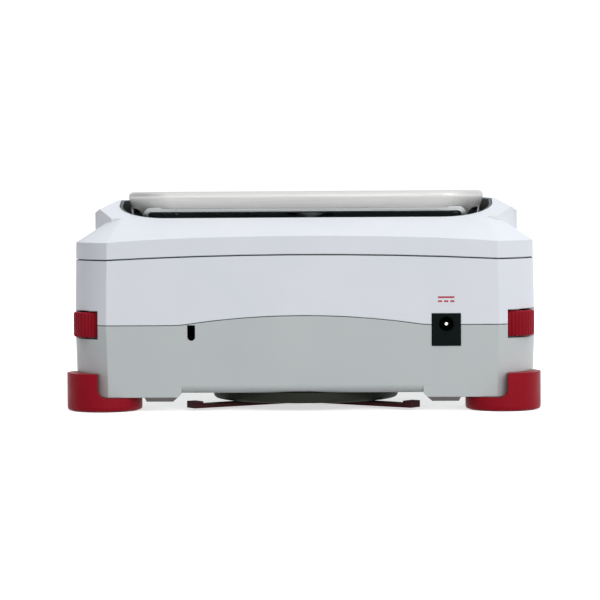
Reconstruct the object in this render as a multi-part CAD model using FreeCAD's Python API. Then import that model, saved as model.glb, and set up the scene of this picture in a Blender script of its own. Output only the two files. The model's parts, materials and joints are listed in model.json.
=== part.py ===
import FreeCAD, Part
import math
import os

from FreeCAD import Vector

# A top-loading laboratory balance, seen in the photo from behind.
# Frame: +Z up, the back towards -Y, the user's side towards +Y, origin under
# the middle at the level it stands on. Millimetres. Left and right are the
# user's, so the left side lies at +X.

# Housing
housing_width = 212.0
housing_depth = 320.0
wall = 2.5
base_z = 8.4
base_round = 4.0
split_z = 39.1
split_crown = 4.3
split_half = 55.5
split_blend = 40.0
split_gap = 0.3
seam_z = 68.6
seam_crown = 2.2
seam_gap = 0.6
lower_draft = 0.025
upper_draft = 0.016
corner_inset = 17.5
corner_run = 32.0
lip_height = 3.5
lip_thickness = 1.6
lip_clearance = 0.15
lip_bite = 0.5

# Cover above the seam
cap_edge_z = 76.5
cap_bulge = 10.0
roof_z = 87.2
roof_inset_x = 17.0
roof_setback = 30.0
roof_corner_inset = 5.0
roof_corner_run = 9.0
deck_z = 95.5
deck_shoulder_z = 89.9
deck_inset = 7.0
deck_rim_inset = 17.0
deck_chamfer_run = 22.0
front_slope_start = 94.0
front_edge_z = 57.0
apron_drop = 10.0

# Well under the pan
pan_gap = 3.5
well_corner = 24.0
well_wall = 2.2
well_floor_z = 82.0
liner_sheet = 1.3
liner_clearance = 0.2
liner_set_down = 0.4
ledge_width = 3.0
ledge_height = 2.0

# Pan
pan_width = 168.0
pan_length = 180.0
pan_corner = 20.0
pan_setback = 35.0
pan_top_z = 99.3
pan_sheet = 1.0
pan_edge_round = 2.2
pan_skirt = 12.6
pan_taper = 3.6
notch_lower_z = 91.5
notch_margin = 9.5
notch_round = 3.0

# Weighing cell and what it carries
cell_width = 32.0
cell_length = 112.0
cell_height = 44.0
cell_z = 22.0
cell_end = 26.0
cell_beam = 4.0
cell_flexure = 1.0
cell_slit = 1.5
cell_lever_rise = 9.0
cell_lever_height = 12.0
cell_lever_setback = 12.0
cell_link_setback = 6.0
cell_link_start = 10.0
cell_pivot = 18.0
cell_pivot_half = 2.2
cell_pivot_radius = 2.0
cell_relief_radius = 2.4
cell_bolt_radius = 2.0
cell_bolt_near = 6.0
cell_bolt_far = 18.0
cell_bolt_depth = 12.0
cell_head_radius = 3.5
cell_head_height = 2.0
gauge_half_x = 6.0
gauge_half_y = 4.0
gauge_sheet = 0.4
stop_setback = 12.0
stop_base_radius = 6.0
stop_base_height = 4.0
stop_radius = 3.5
stop_gap = 0.3
carrier_thickness = 5.0
carrier_gap = 3.0
stub_radius = 7.0
collar_radius = 16.0
collar_height = 3.0
hub_radius = 12.0
arm_half_x = 58.0
arm_half_y = 62.0
arm_width = 10.0
arm_thickness = 3.0
arm_rib = 3.0
arm_rib_depth = 3.5
arm_rib_short = 14.0
hub_drop = 5.0
stem_step = 1.0
carrier_corner = 5.0
carrier_foot_gap = 4.0
carrier_end = 4.0
bumper_rim = 2.0
bumper_radius = 5.0
bumper_height = 3.0
seat_gap = 0.05

# Levelling feet
foot_inset_x = 15.2
foot_inset_y = 14.0
foot_radius = 17.1
foot_height = 6.3
foot_tower_z = 17.3
foot_tower_inset = 13.6
foot_gap = 0.6
foot_fillet = 4.0
foot_chamfer = 0.8
tower_lead = 4.0
pad_height = 1.2
pad_inset = 2.0
pad_ring = 5.0
spindle_inset_x = 12.6
spindle_inset_y = 17.5
spindle_radius = 3.0
spindle_top_z = 57.0
spindle_seat_z = 3.0
spindle_chamfer = 0.5
spindle_slot = 1.0
spindle_slot_depth = 1.5
spindle_clearance = 0.06
wheel_radius = 11.8
wheel_low_z = 33.4
wheel_height = 11.5
wheel_ribs = 36
wheel_rib_depth = 0.5
wheel_bevel = 1.0
window_low_z = 32.7
window_height = 12.9
window_inset = 13.4
window_depth = 31.0
washer_thickness = 0.5
washer_radius = 5.0
washer_gap = 0.3
bracket_arm = 3.6
bracket_half = 4.6
bracket_gap = 0.2
bracket_post = 6.0
bracket_foot_length = 20.0
bracket_foot_width = 14.0
bracket_rib = 3.0
bracket_rib_length = 18.0

# Chassis
chassis_z = 12.4
chassis_plate = 3.5
chassis_inset = 7.0
chassis_end_inset = 12.0
chassis_corner = 20.0
chassis_rib = 3.0
chassis_rib_height = 6.0
chassis_rib_inset = 12.0
chassis_rib_end = 24.0
cross_rib_inset = 50.0
chassis_window = (16.0, 22.0, 8.0)
chassis_window_x = 24.0
chassis_window_inset = 80.0
chassis_screw_inset = 44.0
chassis_screw_setback = 75.0
standoff_radius = 5.0
tray_rib_setback = 100.0
tray_rib_half = 1.0
tray_rib_gap = 0.2

# Socket and slot in the back
jack_inset = 41.1
jack_width = 13.0
jack_low_z = 29.6
jack_height = 14.5
jack_hole_z = 39.4
jack_hole_radius = 3.2
jack_hole_depth = 10.0
jack_body_depth = 13.0
jack_pin_radius = 1.05
jack_proud = 0.4
jack_edge = 0.4
jack_flare = 0.5
jack_gap = 0.1
pin_setback = 1.0
pin_length = 15.0
slot_inset = 56.0
slot_width = 3.6
slot_low_z = 32.2
slot_height = 7.0

# Underside
runner_inset = 42.5
runner_top_width = 18.0
runner_width = 12.0
runner_shift = 1.0
runner_setback = 2.0
runner_drop = 3.8
runner_length = 26.0
dish_radius = 43.0
dish_setback = 45.0
dish_drop = 4.9
dish_rim = 1.8
lever_hub_radius = 13.0
lever_thickness = 1.7
lever_z = 1.1
lever_reach_x = 51.0
lever_reach_y = 36.0
lever_width = 7.0
lever_root_width = 11.0
lever_root_x = 6.5
lever_root_y = 4.0
lever_tab_height = 3.1
lever_tab_length = 4.5
lock_shaft_radius = 4.0
lock_shaft_rise = 6.0
lock_screw_sink = 0.3

# Control panel
panel_width = 170.0
panel_length = 84.0
panel_sheet = 0.8
window_width = 104.0
window_length = 32.0
display_offset = -17.0
key_offset = 22.0
key_width = 22.0
key_length = 10.0
key_pitch = 30.0
key_proud = 1.2
key_clearance = 0.2
key_flange = 1.2
key_travel = 0.8
level_radius = 8.0
level_offset_x = 68.5
level_depth = 6.0
board_sheet = 1.6
lcd_height = 5.0
lcd_gap = 0.2

# Boards and screws
board_width = 56.0
board_length = 80.0
board_gap = 1.1
board_setback = 16.0
board_tongue = 30.0
board_hole_inset = 14.0
board_hole_x = 12.0
chip_inset = 8.0
chip_setback = 38.0
chip_size = 14.0
chip_height = 1.6
converter_width = 13.0
converter_height = 9.0
plug_reach = 16.0
plug_width = 18.0
plug_setback = 70.0
plug_length = 6.0
plug_height = 6.0
jack_board_reach = 24.0
jack_board_arm = 11.5
ribbon_sheet = 0.8
ribbon_width = 14.0
ribbon_rise = 9.0
ribbon_bend = 4.0
screw_radius = 1.5
screw_head_radius = 3.0
screw_head_height = 2.0
post_radius = 4.0
post_inset = 22.0
post_setback = 52.0
post_middle_y = 20.0
far = 400.0

rear_y = -housing_depth / 2
front_y = housing_depth / 2
side_x = housing_width / 2
pan_y = rear_y + pan_setback + pan_length / 2
well_half_x = pan_width / 2 + pan_gap
well_half_y = pan_length / 2 + pan_gap + 1.5
wheel_top_z = wheel_low_z + wheel_height
plate_top_z = chassis_z + chassis_plate
cell_top_z = cell_z + cell_height
carrier_z = cell_top_z + carrier_gap
arm_top_z = pan_top_z - pan_sheet - bumper_height
arm_z = arm_top_z - arm_thickness
front_slope_y = front_y - front_slope_start
slope_fall = (deck_z - front_edge_z) / front_slope_start
slope_angle = math.degrees(math.atan(slope_fall))
panel_skin = wall * math.cos(math.atan(slope_fall))
board_top = -(panel_skin + lcd_gap + lcd_height)
dish_y = rear_y + dish_setback
jack_x = side_x - jack_inset
slot_x = slot_inset - side_x
runner_x = side_x - runner_inset
post_x = side_x - post_inset
chassis_half_x = side_x - corner_inset - chassis_inset
chassis_half_y = front_y - chassis_end_inset


def box(x0, x1, y0, y1, z0, z1):
    return Part.makeBox(x1 - x0, y1 - y0, z1 - z0, Vector(x0, y0, z0))


def cylinder(radius, x, y, z0, z1):
    return Part.makeCylinder(radius, z1 - z0, Vector(x, y, z0))


def fused(shapes):
    first = shapes[0]
    return first.multiFuse(shapes[1:]) if len(shapes) > 1 else first


def group(shapes):
    return Part.makeCompound(shapes)


def prism(points, direction):
    wire = Part.makePolygon(points + [points[0]])
    return Part.Face(wire).extrude(direction)


def section_prism(points, y0=-far, y1=far):
    """A flat outline given in X and Z, drawn out along Y."""
    return prism([Vector(x, y0, z) for x, z in points], Vector(0, y1 - y0, 0))


def profile_prism(points, x0=-far, x1=far):
    """A side outline given in Y and Z, drawn out along X."""
    return prism([Vector(x0, y, z) for y, z in points], Vector(x1 - x0, 0, 0))


def rounded_wire(half_x, half_y, radius, z, y=0.0):
    """A rectangle with round corners, centred on X=0."""
    edges = []
    corners = [(1, 1), (-1, 1), (-1, -1), (1, -1)]
    ends = []
    for sx, sy in corners:
        cx = sx * (half_x - radius)
        cy = y + sy * (half_y - radius)
        side = Vector(cx + sx * radius, cy, z)
        end = Vector(cx, cy + sy * radius, z)
        diagonal = radius * math.sqrt(0.5)
        middle = Vector(cx + sx * diagonal, cy + sy * diagonal, z)
        first, last = (side, end) if sx * sy > 0 else (end, side)
        ends.append((first, middle, last))
    for index, (first, middle, last) in enumerate(ends):
        following = ends[(index + 1) % 4][0]
        edges.append(Part.Arc(first, middle, last).toShape())
        edges.append(Part.makeLine(last, following))
    return Part.Wire(edges)


def rounded_block(half_x, half_y, radius, z0, z1, y=0.0):
    face = Part.Face(rounded_wire(half_x, half_y, radius, z0, y))
    return face.extrude(Vector(0, 0, z1 - z0))


def plan_wire(half_x, y_rear, y_front, z, inset=corner_inset, run=corner_run, bulge=0.0):
    """Housing seen from above: flat ends, crisp edges, corners that run into the sides."""
    radius = (inset * inset + run * run) / (2 * inset)
    turn = math.asin(run / radius) / 2
    edge_x = half_x - inset
    side_y = radius * math.sin(turn)
    middle_x = half_x - radius + radius * math.cos(turn)

    def corner(sx, y_end, sy):
        start = Vector(sx * half_x, y_end - sy * run, z)
        middle = Vector(sx * middle_x, y_end - sy * (run - side_y), z)
        end = Vector(sx * edge_x, y_end, z)
        return start, middle, end

    front_left = corner(1, y_front, 1)
    front_right = corner(-1, y_front, 1)
    rear_right = corner(-1, y_rear, -1)
    rear_left = corner(1, y_rear, -1)
    rear = Part.makeLine(rear_right[2], rear_left[2])
    if bulge:
        middle = Vector(0, y_rear - bulge, z)
        rear = Part.Arc(rear_right[2], middle, rear_left[2]).toShape()
    edges = [
        Part.Arc(*front_left).toShape(),
        Part.makeLine(front_left[2], front_right[2]),
        Part.Arc(*reversed(front_right)).toShape(),
        Part.makeLine(front_right[0], rear_right[0]),
        Part.Arc(*rear_right).toShape(),
        rear,
        Part.Arc(*reversed(rear_left)).toShape(),
        Part.makeLine(rear_left[0], front_left[0]),
    ]
    return Part.Wire(edges)


def shell_block(z_low, z_high, draft, inset=0.0):
    """The housing's outside between two heights, drawn in by the wall for its hollow."""
    wires = []
    for z in (z_low, z_high):
        grow = (z - split_z) * draft - inset
        wires.append(plan_wire(side_x + grow, rear_y - grow, front_y + grow, z))
    return Part.makeLoft(wires, True, True)


def closed_below(top_edges, floor_z=-far):
    """The region under a line of edges that runs from -X to +X."""
    start = top_edges[0].Vertexes[0].Point
    end = top_edges[-1].Vertexes[-1].Point
    low_end = Vector(end.x, end.y, floor_z)
    low_start = Vector(start.x, start.y, floor_z)
    edges = top_edges + [
        Part.makeLine(end, low_end),
        Part.makeLine(low_end, low_start),
        Part.makeLine(low_start, start),
    ]
    return Part.Face(Part.Wire(edges)).extrude(Vector(0, 2 * far, 0))


def below_split(offset):
    """Everything under the line where the lower shell ends, which rises in the middle."""
    low = split_z + offset
    high = low + split_crown
    radius = (split_half ** 2 + split_crown ** 2) / (2 * split_crown)
    reach = radius + split_blend
    blend_x = math.sqrt(reach ** 2 - (reach - split_crown) ** 2)
    tilt = math.asin(blend_x / reach)

    def at(x, z):
        return Vector(x, -far, z)

    def on_arch(sign):
        return at(sign * radius * math.sin(tilt), high - radius * (1 - math.cos(tilt)))

    def on_blend(sign):
        share = tilt / 2
        return at(sign * (blend_x - split_blend * math.sin(share)),
                  low + split_blend * (1 - math.cos(share)))

    edges = [
        Part.makeLine(at(-far, low), at(-blend_x, low)),
        Part.Arc(at(-blend_x, low), on_blend(-1), on_arch(-1)).toShape(),
        Part.Arc(on_arch(-1), at(0, high), on_arch(1)).toShape(),
        Part.Arc(on_arch(1), on_blend(1), at(blend_x, low)).toShape(),
        Part.makeLine(at(blend_x, low), at(far, low)),
    ]
    return closed_below(edges)


def below_seam(offset):
    """Everything under the cover's lower edge: arched, and falling towards the front."""
    low = seam_z + offset
    edge_x = side_x - corner_inset
    left = Vector(-edge_x, -far, low)
    right = Vector(edge_x, -far, low)
    top = Vector(0, -far, low + seam_crown)
    edges = [
        Part.makeLine(Vector(-far, -far, low), left),
        Part.Arc(left, top, right).toShape(),
        Part.makeLine(right, Vector(far, -far, low)),
    ]
    arched = closed_below(edges)
    ramp_z = deck_z - apron_drop + offset
    outline = [(front_slope_y - far, ramp_z + far * slope_fall),
               (front_slope_y + far, ramp_z - far * slope_fall),
               (front_slope_y + far, -far), (front_slope_y - far, -far)]
    return arched.common(profile_prism(outline))


def wall_ring(z_low, z_high, draft, outer, inner):
    return shell_block(z_low, z_high, draft, outer).cut(
        shell_block(z_low - 1, z_high + 1, draft, inner))


def mirrored(shape):
    """The same piece on the other side of the middle."""
    return shape.mirror(Vector(0, 0, 0), Vector(1, 0, 0))


def cover_envelope(inset):
    """The cover's outer form, drawn in by inset: hipped roof, raised deck, front slope."""
    def grow(z):
        return (z - split_z) * -upper_draft - inset

    half = side_x + grow(cap_edge_z)
    rear = rear_y - grow(cap_edge_z)
    front = front_y + grow(cap_edge_z)
    eaves = plan_wire(half, rear, front, cap_edge_z, bulge=cap_bulge)
    ridge = plan_wire(side_x - roof_inset_x - inset, rear_y + roof_setback + inset,
                      front, roof_z, roof_corner_inset, roof_corner_run)
    roof = Part.makeLoft([eaves, ridge], True, True)
    plan = shell_block(split_z, deck_z + 5, -upper_draft, inset)
    low = plan.common(box(-far, far, -far, far, 0, cap_edge_z))
    return fused([low, roof.common(plan), deck_block(inset)]).common(front_region())


def deck_block(inset):
    """The raised middle with its bevelled wings and cut rear corners."""
    ridge_x = side_x - roof_inset_x - inset
    deck_x = side_x - deck_inset - inset
    rear = rear_y + roof_setback + inset
    plan = [(ridge_x, rear), (deck_x, rear + deck_chamfer_run), (deck_x, front_slope_y + 60),
            (-deck_x, front_slope_y + 60), (-deck_x, rear + deck_chamfer_run), (-ridge_x, rear)]
    low_z = cap_edge_z - 4
    block = prism([Vector(x, y, low_z) for x, y in plan], Vector(0, 0, deck_z - low_z))
    rim_x = side_x - deck_rim_inset - inset
    section = [(-deck_x, 0), (-deck_x, deck_shoulder_z), (-rim_x, deck_z),
               (rim_x, deck_z), (deck_x, deck_shoulder_z), (deck_x, 0)]
    rise = (roof_z - cap_edge_z) / (roof_setback + cap_bulge)
    slope = [(rear, 0), (rear, roof_z), (rear + 100, roof_z + 100 * rise),
             (far, roof_z + 100 * rise), (far, 0)]
    return block.common(section_prism(section)).common(profile_prism(slope))


def front_region():
    """Everything under the plane of the control panel."""
    outline = [(front_slope_y - far, deck_z + far * slope_fall),
               (front_slope_y + far, deck_z - far * slope_fall),
               (front_slope_y + far, -far), (front_slope_y - far, -far)]
    return profile_prism(outline)


def on_panel(shape, u=0.0, v=0.0, lift=0.0):
    """Lay a piece drawn flat on the sloping control panel."""
    middle_y = front_slope_y + front_slope_start / 2
    middle_z = deck_z - slope_fall * front_slope_start / 2
    moved = shape.copy()
    moved.translate(Vector(u, v, lift))
    moved.rotate(Vector(0, 0, 0), Vector(1, 0, 0), -slope_angle)
    moved.translate(Vector(0, middle_y, middle_z))
    return moved


# The four corners: name, side in X, end in Y
corners = [("rear_left", 1, -1), ("rear_right", -1, -1),
           ("front_left", 1, 1), ("front_right", -1, 1)]


def spindle_place(sx, sy):
    return sx * (side_x - spindle_inset_x), sy * (front_y - spindle_inset_y)


def foot_place(sx, sy):
    return sx * (side_x - foot_inset_x), sy * (front_y - foot_inset_y)


def wheel_windows():
    """Openings in the shells' corners where the thumbwheels look out."""
    cuts = []
    for _, sx, sy in corners:
        x_in = side_x - window_inset
        y_in = front_y - window_depth
        cut = box(x_in, side_x + 5, y_in, front_y + 5, window_low_z, window_low_z + window_height)
        wheel_x, wheel_y = spindle_place(1, 1)
        room = cylinder(wheel_radius + foot_gap, wheel_x, wheel_y,
                        window_low_z, window_low_z + window_height)
        cut = cut.fuse(room)
        if sx < 0:
            cut = mirrored(cut)
        if sy < 0:
            cut = cut.mirror(Vector(0, 0, 0), Vector(0, 1, 0))
        cuts.append(cut)
    return cuts


def post_places():
    rows = (rear_y + post_setback, post_middle_y, front_y - post_setback)
    return [(sx * post_x, y) for sx in (-1, 1) for y in rows]


def chassis_places():
    x = side_x - chassis_screw_inset
    y = front_y - chassis_screw_setback
    return [(sx * x, sy * y) for sx in (-1, 1) for sy in (-1, 1)]


def jack_notch(clearance):
    half = jack_width / 2 + clearance
    return box(jack_x - half, jack_x + half, rear_y - 5, rear_y + jack_body_depth,
               jack_low_z - clearance, jack_low_z + jack_height + clearance)


def lock_slot():
    radius = slot_width / 2
    low = slot_low_z + radius
    depth = 2 * wall + lip_thickness + lip_bite
    body = box(slot_x - radius, slot_x + radius, rear_y - wall, rear_y - wall + depth,
               low, slot_low_z + slot_height)
    end = Part.makeCylinder(radius, depth, Vector(slot_x, rear_y - wall, low), Vector(0, 1, 0))
    return body.fuse(end)


def runner(sx):
    """A tapered block under the back edge, beside each foot."""
    top = base_z + 1
    half = runner_width / 2
    inner = runner_x - runner_top_width / 2
    outer = runner_x + runner_top_width / 2
    low_x = runner_x + runner_shift
    low = base_z - runner_drop
    section = [(inner, top), (low_x - half, low), (low_x + half, low), (outer, base_z),
               (outer, top)]
    start = rear_y + runner_setback
    block = section_prism(section, start, start + runner_length)
    return block if sx > 0 else mirrored(block)


def lower_shell():
    """The grey tray that everything stands on."""
    outer = shell_block(base_z, split_z + split_crown + 4, lower_draft)
    rim = [e for e in outer.Edges
           if all(abs(v.Z - base_z) < 1e-6 for v in e.Vertexes)]
    outer = outer.makeFillet(base_round, rim)
    hollow = shell_block(base_z + wall, split_z + split_crown + 10, lower_draft, wall)
    shell = outer.common(below_split(-split_gap / 2)).cut(hollow)
    adds = [runner(1), runner(-1)]
    for x, y in post_places():
        adds.append(cylinder(post_radius + wall, x, y, base_z + 1, plate_top_z))
    for x, y in chassis_places():
        adds.append(cylinder(standoff_radius, x, y, base_z + 1, chassis_z))
    rib_half = side_x - 2 * chassis_inset
    for y in (rear_y + tray_rib_setback, 0.0, front_y - tray_rib_setback):
        adds.append(box(-rib_half, rib_half, y - tray_rib_half, y + tray_rib_half, base_z + 1,
                        chassis_z - tray_rib_gap))
    shell = fused([shell] + adds)
    cuts = wheel_windows() + [jack_notch(jack_gap), lock_slot()]
    for x, y in post_places():
        cuts.append(cylinder(post_radius + spindle_clearance, x, y, base_z + 2 * wall, 60))
        cuts.append(cylinder(screw_radius + 0.2, x, y, 0, 60))
        cuts.append(cylinder(screw_head_radius + 0.2, x, y, 0, base_z + screw_head_height))
    for _, sx, sy in corners:
        x, y = spindle_place(sx, sy)
        cuts.append(cylinder(spindle_radius + foot_gap, x, y, 0, 20))
    cuts.append(cylinder(lock_shaft_radius + spindle_clearance, 0, dish_y, 0, 20))
    for x, y in chassis_places():
        cuts.append(cylinder(screw_radius, x, y, base_z + 1, 60))
    return shell.cut(group(cuts))


def middle_shell():
    """The white band between the tray and the cover, with a tongue at each edge."""
    band = wall_ring(split_z - 12, seam_z + seam_crown + 12, -upper_draft, 0, wall)
    band = band.common(below_seam(-seam_gap / 2)).cut(below_split(split_gap / 2))
    inner = wall_ring(split_z - 12, seam_z + seam_crown + 12, -upper_draft,
                      wall + lip_clearance, wall + lip_thickness)
    root = wall_ring(split_z - 12, seam_z + seam_crown + 12, -upper_draft,
                     wall - lip_bite, wall + lip_thickness)
    low_root = root.common(below_split(lip_height)).cut(below_split(1.0))
    low_tongue = inner.common(below_split(lip_height)).cut(below_split(-lip_height))
    high_root = root.common(below_seam(-1.0)).cut(below_seam(-lip_height))
    high_tongue = inner.common(below_seam(lip_height)).cut(below_seam(-lip_height))
    shell = fused([band, low_root, low_tongue, high_root, high_tongue])
    cuts = wheel_windows() + [jack_notch(jack_gap), lock_slot()]
    for _, sx, sy in corners:
        x, y = spindle_place(sx, sy)
        cuts.append(cylinder(bracket_half + bracket_gap, x, y, 0, spindle_top_z + wall))
    return shell.cut(group(cuts))


def well_block(offset, z0, z1):
    return rounded_block(well_half_x + offset, well_half_y + offset, well_corner + offset,
                         z0, z1, pan_y)


def top_cover():
    """The white top: one shell with the well for the pan and the sloping front."""
    outer = cover_envelope(0)
    hollow = cover_envelope(wall)
    hollow.translate(Vector(0, 0, -wall))
    ledge_z = well_floor_z - liner_sheet - ledge_height
    well_side = well_block(well_wall, ledge_z, deck_z + 5).common(outer)
    solid = outer.cut(hollow).fuse(well_side)
    for x, y in post_places():
        top = outer.common(cylinder(post_radius, x, y, seam_z, deck_z + 5))
        solid = solid.fuse(top)
    solid = solid.cut(well_block(0, well_floor_z - liner_sheet, deck_z + 10))
    solid = solid.cut(well_block(-ledge_width, 0, deck_z + 10).common(
        box(-far, far, -far, far, ledge_z - 1, far)))
    skirt = below_seam(seam_gap / 2)
    posts = [cylinder(post_radius, x, y, base_z + 2 * wall, seam_z + 8)
             for x, y in post_places()]
    solid = solid.cut(skirt).fuse(posts)
    for u, v in board_posts():
        solid = solid.fuse(on_panel(Part.makeCylinder(3.5, -board_top - panel_sheet - 0.1,
                                                      Vector(0, 0, board_top)), u, v))
    cuts = [cylinder(screw_radius, x, y, 0, base_z + 30) for x, y in post_places()]
    for u, v in board_posts():
        cuts.append(on_panel(Part.makeCylinder(screw_radius, 3.5, Vector(0, 0, board_top - 0.2)),
                             u, v))
    cuts.append(on_panel(rounded_block(panel_width / 2, panel_length / 2, 6, -panel_sheet, 5)))
    cuts.append(on_panel(rounded_block(window_width / 2 - 2, window_length / 2 - 2, 2, -20, 5),
                         0, display_offset))
    for u in key_places():
        cuts.append(on_panel(key_outline(key_clearance, -20, 5), u, key_offset))
    cuts.append(on_panel(Part.makeCylinder(level_radius, 30, Vector(0, 0, -20)),
                         level_offset_x, display_offset))
    return solid.cut(group(cuts))


def well_liner():
    """The dark tray that lines the well and closes it round the pan's stem."""
    surface = cover_envelope(0)
    surface.translate(Vector(0, 0, -liner_set_down))
    low = well_floor_z - liner_sheet + seat_gap
    outside = well_block(-liner_clearance, low, deck_z + 5)
    inside = well_block(-liner_clearance - liner_sheet, well_floor_z, deck_z + 10)
    tray = outside.cut(inside).common(surface)
    collar = cylinder(collar_radius + liner_sheet, 0, pan_y, low, well_floor_z + collar_height)
    return tray.fuse(collar).cut(cylinder(collar_radius, 0, pan_y, 0, deck_z))


def key_places():
    return [(index - 2) * key_pitch for index in range(5)]


def key_outline(grow, z0, z1):
    radius = key_length / 2 + grow
    return rounded_block(key_width / 2 + grow, radius, radius - 0.01, z0, z1)


def pan_shell(inset, z_low, z_top):
    """The pan's form: round corners, a skirt that leans in towards its edge."""
    half_x = pan_width / 2 - inset
    half_y = pan_length / 2 - inset
    lean = pan_taper * (z_top - z_low) / pan_skirt
    top = rounded_wire(half_x, half_y, pan_corner - inset, z_top, pan_y)
    low = rounded_wire(half_x - lean, half_y - lean, pan_corner - inset, z_low, pan_y)
    return Part.makeLoft([low, top], True, True)


def pan_notch(half, along_x):
    """A long cut with round ends in one side of the skirt."""
    depth = pan_top_z - pan_skirt - 1
    reach = half - notch_margin
    height = notch_lower_z
    if along_x:
        blank = box(-reach, reach, pan_y - pan_length, pan_y + pan_length, depth, height)
        edges = [e for e in blank.Edges
                 if all(abs(v.Z - height) < 1e-6 for v in e.Vertexes)
                 and abs(e.Vertexes[0].X - e.Vertexes[1].X) < 1e-6]
    else:
        blank = box(-pan_width, pan_width, pan_y - reach, pan_y + reach, depth, height)
        edges = [e for e in blank.Edges
                 if all(abs(v.Z - height) < 1e-6 for v in e.Vertexes)
                 and abs(e.Vertexes[0].Y - e.Vertexes[1].Y) < 1e-6]
    return blank.makeFillet(notch_round, edges)


def pan():
    """Stainless pan, pressed from one sheet, resting on four corner legs of its skirt."""
    low = pan_top_z - pan_skirt
    outer = pan_shell(0, low, pan_top_z)
    rim = [e for e in outer.Edges
           if all(abs(v.Z - pan_top_z) < 1e-6 for v in e.Vertexes)]
    outer = outer.makeFillet(pan_edge_round, rim)
    inner = pan_shell(pan_sheet, low, pan_top_z - pan_sheet)
    rim = [e for e in inner.Edges
           if all(abs(v.Z - pan_top_z + pan_sheet) < 1e-6 for v in e.Vertexes)]
    inner = inner.makeFillet(pan_edge_round - pan_sheet, rim)
    notches = group([pan_notch(pan_width / 2, True), pan_notch(pan_length / 2, False)])
    return outer.cut(inner).cut(notches)


def pan_support():
    """Cast cross under the pan, on the stem of the carrier."""
    stem_top = arm_z - stem_step
    hub = cylinder(hub_radius, 0, pan_y, arm_z - hub_drop, arm_top_z)
    parts = [hub]
    for sx in (-1, 1):
        for sy in (-1, 1):
            angle = math.atan2(sy * arm_half_y, sx * arm_half_x)
            reach = math.hypot(arm_half_x, arm_half_y)
            arm = box(0, reach, -arm_width / 2, arm_width / 2, arm_z, arm_top_z)
            rib = box(0, reach - arm_rib_short, -arm_rib / 2, arm_rib / 2,
                      arm_z - arm_rib_depth, arm_z)
            arm = arm.fuse(rib)
            arm.rotate(Vector(0, 0, 0), Vector(0, 0, 1), math.degrees(angle))
            arm.translate(Vector(0, pan_y, 0))
            foot = cylinder(bumper_radius + bumper_rim, sx * arm_half_x, pan_y + sy * arm_half_y,
                            arm_z, arm_top_z)
            parts += [arm, foot]
    cross = fused(parts)
    bore = stub_radius - stem_step + spindle_clearance
    return cross.cut(cylinder(bore, 0, pan_y, 0, stem_top))


def pan_bumpers():
    pads = []
    for sx in (-1, 1):
        for sy in (-1, 1):
            pads.append(cylinder(bumper_radius, sx * arm_half_x, pan_y + sy * arm_half_y,
                                 arm_top_z, arm_top_z + bumper_height))
    return group(pads)


def cell_y():
    """The fixed end of the weighing cell lies forward, the free end to the rear."""
    return pan_y - cell_length / 2, pan_y + cell_length / 2


def cell_bolts(end_y, inward):
    """The four bolt holes in one end of the weighing cell."""
    return [(x, end_y + inward * along) for x in (-cell_width / 4, cell_width / 4)
            for along in (cell_bolt_near, cell_bolt_far)]


def load_cell():
    """One milled block: two thin guides joined by flexures, and a lever cut free between."""
    rear, front = cell_y()
    half = cell_width / 2
    block = box(-half, half, rear, front, cell_z, cell_top_z)
    inner_rear = rear + cell_end
    inner_front = front - cell_end
    low = cell_z + cell_beam
    high = cell_top_z - cell_beam
    cuts = []

    def slot(y0, y1, z0, z1):
        cuts.append(box(-half - 1, half + 1, y0, y1, z0, z1))

    def hole(y, z, radius):
        cuts.append(Part.makeCylinder(radius, cell_width + 2, Vector(-half - 1, y, z),
                                      Vector(1, 0, 0)))

    slot(inner_rear, inner_front, low, low + cell_slit)
    slot(inner_rear, inner_front, high - cell_slit, high)
    slot(inner_rear - cell_slit, inner_rear, low, high)
    radius = cell_beam - cell_flexure
    for y in (inner_rear + radius, inner_front - radius):
        hole(y, low, radius)
        hole(y, high, radius)
    lever_z = low + cell_lever_rise
    lever_end = inner_front - cell_lever_setback
    slot(inner_rear, lever_end, lever_z, lever_z + cell_slit)
    link_z = lever_z + cell_lever_height
    link_start = inner_rear + cell_link_start
    slot(link_start, inner_front - cell_link_setback, link_z, link_z + cell_slit)
    pivot_y = inner_rear + cell_pivot
    pivot_z = lever_z + cell_slit + cell_pivot_radius - cell_flexure
    hole(pivot_y - cell_pivot_half, pivot_z, cell_pivot_radius)
    hole(pivot_y + cell_pivot_half, pivot_z, cell_pivot_radius)
    hole(link_start, link_z + cell_slit / 2, cell_relief_radius)
    hole(lever_end, lever_z + cell_slit / 2, cell_relief_radius)
    for x, y in cell_bolts(rear, 1):
        cuts.append(cylinder(cell_bolt_radius, x, y, high, cell_top_z + 1))
    for x, y in cell_bolts(front, -1):
        cuts.append(cylinder(cell_bolt_radius, x, y, cell_z - 1, cell_z + cell_bolt_depth))
    return block.cut(group(cuts))


def cell_screws():
    """Four cap screws hold the cell's fixed end down on the chassis."""
    _, front = cell_y()
    screws = []
    head_top = chassis_z + cell_head_height
    for x, y in cell_bolts(front, -1):
        head = cylinder(cell_head_radius, x, y, chassis_z, head_top)
        shank = cylinder(cell_bolt_radius - seat_gap, x, y, head_top,
                         cell_z + cell_bolt_depth - 1)
        screws.append(head.fuse(shank))
    return group(screws)


def strain_gauges():
    """Foil gauges over the four flexures of the weighing cell."""
    rear, front = cell_y()
    radius = cell_beam - cell_flexure
    gauges = []
    for y in (rear + cell_end + radius, front - cell_end - radius):
        for z in (cell_z - gauge_sheet, cell_top_z):
            gauges.append(box(-gauge_half_x, gauge_half_x, y - gauge_half_y, y + gauge_half_y,
                              z, z + gauge_sheet))
    return group(gauges)


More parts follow.
